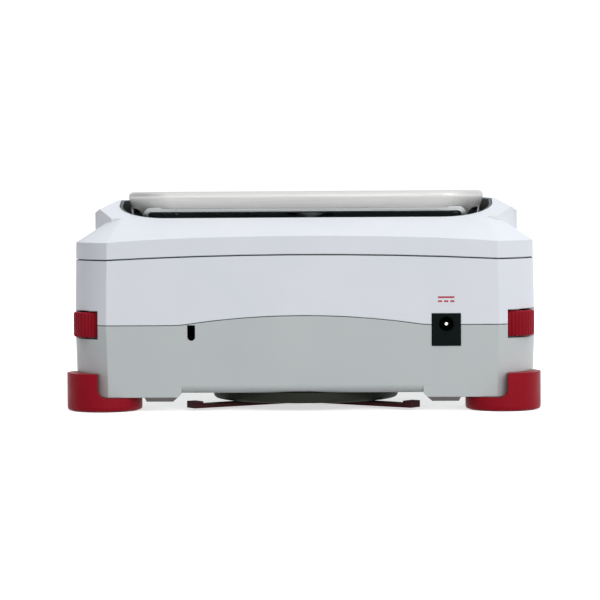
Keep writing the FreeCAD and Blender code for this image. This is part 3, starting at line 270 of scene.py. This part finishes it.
# Marks printed on the shells and keys: flat, slightly glossy ink
red_ink = moulded("red printing ink", "#B0283A", 0.35, "#A32334", 0.3, 0.002, 0.02)
dark_ink = moulded("dark printing ink", "#2A2F34", 0.35, "#31363B", 0.3, 0.002, 0.02)
pale_ink = moulded("pale printing ink", "#C4CBD0", 0.35, "#BBC2C8", 0.3, 0.002, 0.02)
# The dark strokes of the display
liquid_crystal = moulded("liquid crystal strokes", "#0C120C", 0.25, "#252E25", 1, 0.001, 0.02)
# The display's window: a thin clear sheet with a sharp gloss
glass = Finish("clear acrylic", "#F2F6F5", 0.05).set(Transmission_Weight=0.95, IOR=1.49)
glass.bump(glass.noise(30, 1), 0.01, 0.2)
# The level's vial: clear yellow-green liquid under glass
spirit = Finish("filled glass vial", "#C4D84A", 0.04).set(Transmission_Weight=0.8, IOR=1.47)
spirit.bump(spirit.noise(6, 1), 0.01, 0.2)
# Runner strips: a darker, duller grey than the tray, along each runner's foot
glide = moulded("filled nylon", "#706B67", 0.62, "#5E5A56", 0.6, 0.01, 0.3)

FINISHES = {
    "lower_shell": grey_abs, "middle_shell": white_abs, "top_cover": white_abs,
    "well_liner": dark_abs, "pan": brushed, "pan_support": milled, "pan_bumpers": rubber,
    "pan_carrier": milled, "load_cell": milled, "load_cell_screws": zinc,
    "strain_gauges": foil, "overload_stop": zinc, "base_chassis": cast, "wheel_washers": zinc,
    "dc_jack": black_abs, "dc_jack_pin": nickel, "transport_lock_dish": olive_abs,
    "transport_lock_lever": red_nylon_painted_shade, "transport_lock_screw": zinc, "panel_overlay": film,
    "display_window": glass, "lcd_module": display, "display_board": board,
    "level_housing": dark_abs, "level_vial": spirit, "main_board": board,
    "housing_screws": zinc, "chassis_screws": zinc, "board_screws": zinc,
    "ribbon_cable": ribbon, "jack_board": board,
}
for corner in CORNERS:
    FINISHES[f"thumbwheel_{corner}"] = red_nylon
    FINISHES[f"foot_{corner}"] = red_nylon
    FINISHES[f"foot_pad_{corner}"] = rubber
    FINISHES[f"foot_spindle_{corner}"] = zinc
for key in KEYS:
    FINISHES[f"key_{key}"] = keys

for name, node in nodes.items():
    node.data.materials.clear()
    node.data.materials.append(FINISHES[name].material)


# Pieces


def only(kind, geom):
    """The items of one kind in what an operator returns."""
    return [item for item in geom if isinstance(item, kind)]


def edges_at(verts):
    """Every edge that meets one of the points."""
    return list({edge for vert in verts for edge in vert.link_edges})


def finished(name, bm, node, finish, angle=30, stands_for=True, closed=True):
    """A piece from a bmesh: merged, smooth up to an angle, riding with the node it belongs to."""
    bmesh.ops.remove_doubles(bm, verts=bm.verts, dist=0.01 * MM)
    if closed:
        bmesh.ops.recalc_face_normals(bm, faces=bm.faces)
    for face in bm.faces:
        face.smooth = True
    limit = math.radians(angle)
    for edge in bm.edges:
        edge.smooth = len(edge.link_faces) == 2 and edge.calc_face_angle(0) < limit
    mesh = bpy.data.meshes.new(name)
    bm.to_mesh(mesh)
    bm.free()
    mesh.materials.append(finish.material)
    piece = bpy.data.objects.new(name, mesh)
    bpy.context.scene.collection.objects.link(piece)
    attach(piece, BODY[node])
    if stands_for:
        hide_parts(node)
    return piece


def smoothed(node):
    """A merged copy of a node: its curved faces shade smooth, and its flat ones stay flat."""
    bm = bmesh.new()
    bm.from_mesh(nodes[node].data)
    piece = finished(node + "_shaped", bm, node, FINISHES[node], closed=False)
    weigh = piece.modifiers.new("flat faces lead", "WEIGHTED_NORMAL")
    weigh.keep_sharp = True


def tray_wall(x, z):
    """The y of the tray's back wall in mm: it leans in towards its foot and rounds the corner."""
    corner = max(x - CORNER_START, 0)
    return BACK + WALL_DRAFT * (SPLIT_HEIGHT - z) + corner * (0.65 + 0.024 * corner)


def back_bar(side, lower, top, lean, depth):
    """A bar under a level top, with its outer face on the tray's wall. Its lower edge follows
    points in x and z, and the face leans in by lean for each millimetre below the top."""
    bm = bmesh.new()
    last = len(lower) - 1
    bmesh.ops.create_grid(bm, x_segments=last, y_segments=1, size=0.5)
    for vert in bm.verts:
        x, z = lower[round((vert.co.x + 0.5) * last)]
        if vert.co.y > 0:
            z = top
        vert.co = Vector((side * x, tray_wall(x, z) + lean * (top - z), z)) * MM
    grown = bmesh.ops.extrude_face_region(bm, geom=bm.faces[:], use_keep_orig=True)["geom"]
    bmesh.ops.translate(bm, verts=only(bmesh.types.BMVert, grown), vec=(0, depth * MM, 0))
    return bm


def runner_nose(name, side):
    """The runner's back end, flush with the tray: it runs on over the foot's disc."""
    lower = [(54.5, LOWER_EDGE), (56.4, SILL), (CORNER_START, SILL), (89.6, SILL), (91.2, 6.9),
             (92.4, 7.8), (93.2, 9.2)]
    bm = back_bar(side, lower, ROUNDING_END, 0, 7)
    finished(name, bm, "lower_shell", grey_abs, stands_for=False)


def glide_strip(name, side):
    """The darker strip along a runner's foot, which leans forward into shade."""
    ends = SILL - 0.05
    bm = back_bar(side, [(56.4, ends), (58.5, RUNNER_FOOT), (70.5, RUNNER_FOOT), (71.2, ends)],
                  SILL, 0.6, 3)
    finished(name, bm, "lower_shell", glide, stands_for=False)


def rounded_ring(bm, half_x, half_y, radius, z, shift=0.0):
    """A loop in millimetres: a circle whose quarters are moved apart to a rounded rectangle."""
    segments = 48
    turn = Matrix.Rotation(math.pi / segments, 4, "Z")
    made = bmesh.ops.create_circle(bm, segments=segments, radius=radius * MM, matrix=turn)
    for vert in made["verts"]:
        vert.co.x += math.copysign((half_x - radius) * MM, vert.co.x)
        vert.co.y += math.copysign((half_y - radius) * MM, vert.co.y)
        vert.co.y += shift * MM
        vert.co.z = z * MM
    return edges_at(made["verts"])


def lofted(bm, sections):
    """Bridges a row of rounded rings, closes the first, and returns the last, left open."""
    rings = [rounded_ring(bm, *section) for section in sections]
    for low, high in zip(rings, rings[1:]):
        bmesh.ops.bridge_loops(bm, edges=low + high)
    bmesh.ops.contextual_create(bm, geom=rings[0])
    return rings[-1]


def turned(bm, profile, steps):
    """Spins a closed profile, given as radius and height in millimetres, about Z."""
    verts = [bm.verts.new((radius * MM, 0, z * MM)) for radius, z in profile]
    edges = [bm.edges.new(pair) for pair in zip(verts, verts[1:] + verts[:1])]
    bmesh.ops.spin(bm, geom=verts + edges, cent=(0, 0, 0), axis=(0, 0, 1),
                   angle=2 * math.pi, steps=steps, use_merge=True)


def thumbwheel(corner):
    """A nut with a fine-ribbed rim, bevelled above and below, and a dished face round its hole."""
    node = f"thumbwheel_{corner}"
    low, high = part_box(node)
    half = (high.z - low.z) / 2 / MM
    ribs, rib_depth, rim, hole, dish = 42, 0.5, 11.8, 3.15, 0.5
    side = [(hole, half), (5.6, half), (6.2, half - dish), (9.4, half - dish), (10.0, half),
            (rim - 0.9, half), (rim - 0.2, half - 0.4), (rim, half - 1.1)]
    profile = side + [(radius, -z) for radius, z in reversed(side)]
    bm = bmesh.new()
    turned(bm, profile, ribs * 6)
    for vert in bm.verts:
        reach = vert.co.xy.length
        if reach > (rim - 0.3) * MM:
            wave = math.cos(ribs * math.atan2(vert.co.y, vert.co.x))
            vert.co.xy *= 1 - rib_depth * MM * max(0.0, wave) ** 0.6 / reach
    bmesh.ops.translate(bm, verts=bm.verts, vec=(low + high) / 2)
    finished(f"ribbed_wheel_{corner}", bm, node, red_nylon, angle=24)


def foot_rim(corner):
    """The foot's lower rim, which comes down round its rubber pad nearly to the table."""
    node = f"foot_{corner}"
    low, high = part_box(f"foot_pad_{corner}")
    inner, rim, lowest, highest = 15.3, 17.1, 0.35, 2.4
    bm = bmesh.new()
    turned(bm, [(inner, lowest), (rim - 1.1, lowest), (rim - 0.4, 0.6), (rim - 0.05, 1.2),
                (rim, highest), (inner, highest)], 72)
    bmesh.ops.translate(bm, verts=bm.verts,
                        vec=((low.x + high.x) / 2, (low.y + high.y) / 2, 0))
    finished(f"foot_rim_{corner}", bm, node, red_nylon, stands_for=False)


def power_inlet():
    """A black block with eased edges, a raised lip round its mouth and a deep, dark bore."""
    low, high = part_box("dc_jack")
    middle = (low + high) / 2
    half_x = (high.x - low.x) / 2 / MM
    half_z = (high.z - low.z) / 2 / MM
    depth = (high.y - low.y) / MM
    mouth = INLET_HEIGHT - middle.z / MM
    bm = bmesh.new()
    front = lofted(bm, [(half_x, half_z, 0.4, -depth), (half_x, half_z, 0.5, -0.4),
                        (half_x - 0.25, half_z - 0.25, 0.5, -0.1),
                        (half_x - 0.7, half_z - 0.7, 0.4, 0)])
    bore = [(3.2, -10), (3.2, -0.6), (3.3, -0.25), (3.8, 0.15), (4.35, 0.15), (4.5, 0)]
    collar = lofted(bm, [(radius, radius, radius, z, mouth) for radius, z in bore])
    bmesh.ops.triangle_fill(bm, edges=front + collar, use_beauty=True)
    place = Matrix.Translation((middle.x, low.y, middle.z)) @ Matrix.Rotation(math.pi / 2, 4, "X")
    bmesh.ops.transform(bm, matrix=place, verts=bm.verts)
    finished("power_inlet_block", bm, "dc_jack", black_abs, angle=40)


def inlet_pin():
    """The pin in the mouth, with a domed end that catches the light."""
    low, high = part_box("dc_jack_pin")
    radius = (high.x - low.x) / 2
    bm = bmesh.new()
    place = Matrix.Translation((low + high) / 2) @ Matrix.Rotation(math.pi / 2, 4, "X")
    bmesh.ops.create_cone(bm, cap_ends=True, segments=24, radius1=radius, radius2=radius,
                          depth=high.y - low.y, matrix=place)
    ends = [edge for edge in bm.edges if abs(edge.verts[0].co.y - edge.verts[1].co.y) < MM / 10]
    bmesh.ops.bevel(bm, geom=ends, offset=radius * 0.6, offset_type="OFFSET", affect="EDGES",
                    segments=4, profile=0.5, material=-1)
    finished("inlet_pin_domed", bm, "dc_jack_pin", nickel, angle=50)


def notch_hem(name, half, reach_end, turn):
    """The rolled hem of one notch in the pan's skirt, just below the sheet's own edge. The side
    has this half length, and is reach_end away from the pan's middle."""
    notch_top, notch_inset, sheet = 91.5, 9.5, 0.55
    radius, gap, foot, bend, web = 0.6, 0.85, 87.0, 2.0, 0.1
    top = notch_top - gap - radius
    side = half - notch_inset - gap - radius
    bm = bmesh.new()
    ring = bmesh.ops.create_circle(bm, segments=16, radius=radius * MM,
                                   matrix=Matrix.Translation((side * MM, 0, foot * MM)))
    for vert in ring["verts"]:
        if vert.co.x - side * MM > radius / 3 * MM and vert.co.y > -web * MM:
            vert.co.x += (gap + 0.6) * MM
            vert.co.y = max(vert.co.y, web * MM)
    cap = bmesh.ops.contextual_create(bm, geom=edges_at(ring["verts"]))["faces"]

    def drawn(faces, vec):
        grown = bmesh.ops.extrude_face_region(bm, geom=faces)["geom"]
        bmesh.ops.translate(bm, verts=only(bmesh.types.BMVert, grown), vec=vec)
        return only(bmesh.types.BMFace, grown)

    def bent(faces, x):
        spun = bmesh.ops.spin(bm, geom=faces, cent=(x * MM, 0, (top - bend) * MM),
                              axis=(0, -1, 0), angle=math.pi / 2, steps=6)["geom_last"]
        return only(bmesh.types.BMFace, spun)

    cap = drawn(cap, (0, 0, (top - bend - foot) * MM))
    cap = bent(cap, side - bend)
    cap = drawn(cap, (-2 * (side - bend) * MM, 0, 0))
    cap = bent(cap, bend - side)
    drawn(cap, (0, 0, (foot - top + bend) * MM))
    for vert in bm.verts:
        vert.co.y += (sheet - reach_end + SKIRT_LEAN * (PAN_TOP - vert.co.z / MM)) * MM
    place = Matrix.Translation((0, PAN_MIDDLE, 0)) @ Matrix.Rotation(turn, 4, "Z")
    bmesh.ops.transform(bm, matrix=place, verts=bm.verts)
    # The hem's darker steel is painted shade
    finished(name, bm, "pan", hem_steel_painted_shade, angle=45, stands_for=False)


# Marks: flat shapes in millimetres, laid on what they are printed on


def bar(bm, x, y, width, height, columns=1):
    """A flat bar, cut into columns where it lies on a curved face."""
    size = Matrix.Diagonal((width * MM, height * MM, 1, 1))
    place = Matrix.Translation((x * MM, y * MM, 0)) @ size
    bmesh.ops.create_grid(bm, x_segments=columns, y_segments=1, size=0.5, matrix=place)


def loop(bm, x, y, outer, inner, gap=0.0):
    """A ring, open at its top by a gap in degrees."""
    place = Matrix.Translation((x * MM, y * MM, 0))
    edges = []
    for radius in (outer, inner):
        made = bmesh.ops.create_circle(bm, segments=48, radius=radius * MM, matrix=place)
        edges += edges_at(made["verts"])
    faces = bmesh.ops.bridge_loops(bm, edges=edges)["faces"]
    wide = [face for face in faces
            if abs(math.degrees(math.atan2(face.calc_center_median().x - x * MM,
                                           face.calc_center_median().y - y * MM))) < gap / 2]
    bmesh.ops.delete(bm, geom=wide, context="FACES")


def stroke(bm, x, y, length, upright):
    """One stroke of a seven-stroke figure: a hexagon drawn out to its length."""
    width = 2.2
    made = bmesh.ops.create_circle(bm, cap_ends=True, segments=6, radius=width / 2 * MM)
    for vert in made["verts"]:
        if abs(vert.co.y) > MM / 10:
            vert.co.y += math.copysign((length - width) / 2 * MM, vert.co.y)
    turn = Matrix.Rotation(0 if upright else math.pi / 2, 4, "Z")
    place = Matrix.Translation((x * MM, y * MM, 0)) @ turn
    bmesh.ops.transform(bm, matrix=place, verts=made["verts"])


def printed(name, bm, node, place, finish):
    """Lays flat marks on a node: each point goes to its surface, and stands a little proud."""
    reach, bite, thickness = 12 * MM, 0.02 * MM, 0.05 * MM
    source = bmesh.new()
    source.from_mesh(nodes[node].data)
    tree = BVHTree.FromBMesh(source)
    source.free()
    out = (place.to_3x3() @ Vector((0, 0, 1))).normalized()
    bmesh.ops.transform(bm, matrix=place, verts=bm.verts)
    for vert in bm.verts:
        hit = tree.ray_cast(vert.co + out * reach, -out)[0]
        vert.co = hit - out * bite
    grown = bmesh.ops.extrude_face_region(bm, geom=bm.faces[:])["geom"]
    bmesh.ops.translate(bm, verts=only(bmesh.types.BMVert, grown), vec=out * thickness)
    finished(name, bm, node, finish, stands_for=False)


for name, side in (("left", 1), ("right", -1)):
    runner_nose(f"runner_nose_{name}", side)
    glide_strip(f"glide_strip_{name}", side)
for name in ("lower_shell", "middle_shell", "top_cover", "well_liner", "pan",
             "transport_lock_dish", "transport_lock_lever"):
    smoothed(name)
for corner in CORNERS:
    smoothed(f"foot_{corner}")
    foot_rim(corner)
    thumbwheel(corner)
power_inlet()
inlet_pin()
notch_hem("rear_notch_hem", PAN_HALF_WIDTH, PAN_HALF_LENGTH, 0)
notch_hem("front_notch_hem", PAN_HALF_WIDTH, PAN_HALF_LENGTH, math.pi)
notch_hem("left_notch_hem", PAN_HALF_LENGTH, PAN_HALF_WIDTH, math.pi / 2)
notch_hem("right_notch_hem", PAN_HALF_LENGTH, PAN_HALF_WIDTH, -math.pi / 2)

# The sign over the inlet: a long bar over three short ones, the common sign for direct current
sign = bmesh.new()
bar(sign, 0, 0.9, 7.4, 0.8, 8)
for x in (-2.75, 0, 2.75):
    bar(sign, x, -0.9, 1.9, 0.8, 2)
above_inlet = Matrix.Translation(SIGN_PLACE) @ Matrix.Rotation(math.pi / 2, 4, "X")
printed("direct_current_sign", sign, "middle_shell", above_inlet, red_ink)


def on_panel(x, y):
    """A place on the panel: X to the reader's right, Y up the slope, Z out of it."""
    panel = (Matrix.Translation(PANEL_MIDDLE) @ Matrix.Rotation(-PANEL_SLOPE, 4, "X")
             @ Matrix.Rotation(math.pi, 4, "Z"))
    return panel @ Matrix.Translation((x * MM, y * MM, 0))


# The display reads nought to two places, with a small ring for a steady load
figures = bmesh.new()
for x in (4, 24, 40):
    for side in (-1, 1):
        for level in (-1, 1):
            stroke(figures, x + side * 4.5, level * 4.8, 8.6, True)
        stroke(figures, x, side * 9.6, 8.2, False)
bar(figures, 14.2, -9.6, 2.0, 2.0)
loop(figures, -40, 8, 2.2, 1.4)
printed("display_figures", figures, "lcd_module", on_panel(0, DISPLAY_ROW), liquid_crystal)

# One plain sign on each key
signs = {key: bmesh.new() for key in KEYS}
loop(signs["power"], 0, 0, 2.6, 2.05, 70)
bar(signs["power"], 0, 1.9, 0.55, 2.6)
for row in (-1.6, 0, 1.6):
    bar(signs["print"], 0, row, 5.2, 0.55, 2)
bar(signs["unit"], 0, -1.7, 5.2, 0.55, 2)
bar(signs["unit"], 0, 0, 0.55, 3.6)
bar(signs["unit"], 0, 2.0, 3.0, 0.55, 2)
for x in (-2.4, 0, 2.4):
    loop(signs["mode"], x, 0, 0.75, 0.05)
loop(signs["zero"], 0, 0, 2.0, 1.45)
for side in (-1, 1):
    bar(signs["zero"], side * 4.6, 0, 2.6, 0.55)
    bar(signs["zero"], side * 3.3, 0, 0.55, 2.0)
for index, key in enumerate(KEYS):
    place = on_panel(KEY_PITCH * (2 - index), KEY_ROW)
    printed(f"key_sign_{key}", signs[key], f"key_{key}", place, dark_ink)

# The level's ring, and the bubble within it
level = bmesh.new()
loop(level, 0, 0, 3.6, 3.2)
on_level = on_panel(LEVEL_X, DISPLAY_ROW)
printed("level_ring", level, "level_vial", on_level, dark_ink)
bubble = bmesh.new()
loop(bubble, 0.3, 0.4, 2.3, 0.05)
printed("level_bubble", bubble, "level_vial", on_level, pale_ink)


# Camera, floor and lights


def look(place, target):
    """The turn that points a light at its target."""
    return (Vector(target) - Vector(place)).to_track_quat("-Z", "Y")


def studio_camera():
    """The photographer's place, 1.16 m behind the balance and just above its pan."""
    data = bpy.data.cameras.new("camera")
    data.lens = LENS
    data.sensor_width = SENSOR_WIDTH
    data.clip_end = 50
    camera = bpy.data.objects.new("camera", data)
    bpy.context.scene.collection.objects.link(camera)
    turn = (Matrix.Rotation(CAMERA_YAW, 4, "Z")
            @ Matrix.Rotation(math.pi / 2 + CAMERA_PITCH, 4, "X")
            @ Matrix.Rotation(-CAMERA_ROLL, 4, "Z"))
    camera.matrix_world = Matrix.Translation(CAMERA_PLACE) @ turn
    bpy.context.scene.camera = camera


def softbox(name, place, target, size, power):
    """A square panel of soft light."""
    data = bpy.data.lights.new(name, "AREA")
    data.size = size
    data.energy = power
    light = bpy.data.objects.new(name, data)
    bpy.context.scene.collection.objects.link(light)
    light.location = place
    light.rotation_euler = look(place, target).to_euler()


def studio_floor():
    """A wide white table. It throws no light back up, so the underside stays in shade, and it
    glows a little, so it is as pale as the room."""
    bm = bmesh.new()
    bmesh.ops.create_grid(bm, x_segments=8, y_segments=8, size=12)
    mesh = bpy.data.meshes.new("studio_floor")
    bm.to_mesh(mesh)
    bm.free()
    floor = bpy.data.objects.new("studio_floor", mesh)
    bpy.context.scene.collection.objects.link(floor)
    acrylic = Finish("matt white acrylic table", "#F7F7F7", 0.8)
    acrylic.set(Specular_IOR_Level=0.15, Emission_Color=linear("#FFFFFF"),
                Emission_Strength=TABLE_GLOW)
    acrylic.bump(acrylic.noise(3, 2), 0.02)
    mesh.materials.append(acrylic.material)
    floor.visible_diffuse = False
    floor.visible_shadow = False


def studio_world():
    """White all round: brightest ahead of the camera, dimmer on the left and below."""
    world = bpy.data.worlds.new("studio")
    world.use_nodes = True
    bpy.context.scene.world = world
    graph = Graph(world.node_tree)
    direction = graph.add("ShaderNodeTexCoord").outputs["Generated"]
    axes = graph.add("ShaderNodeSeparateXYZ", {"Vector": direction}).outputs
    total = graph.span(axes["Y"], ROOM_BEHIND, ROOM_AHEAD, -0.3, 0.6)
    left = graph.span(axes["X"], ROOM_LEFT, 1.0, -0.95, -0.15)
    below = graph.span(axes["Z"], ROOM_BELOW, 1.0, -0.45, -0.03)
    for share in (left, below):
        product = graph.add("ShaderNodeMath", {0: total, 1: share}, operation="MULTIPLY")
        total = product.outputs[0]
    background = world.node_tree.nodes["Background"]
    graph.feed(background, "Color", linear("#FAFBFF"))
    graph.feed(background, "Strength", total)


bpy.context.scene.view_settings.view_transform = "Standard"
studio_camera()
studio_floor()
studio_world()
softbox("overhead_softbox", (0.2, -0.3, 1.6), (0, 0, 0.05), 1.8, 5)
softbox("right_softbox", (0.6, -1.5, 0.6), (0, -0.1, 0.05), 0.6, 7)
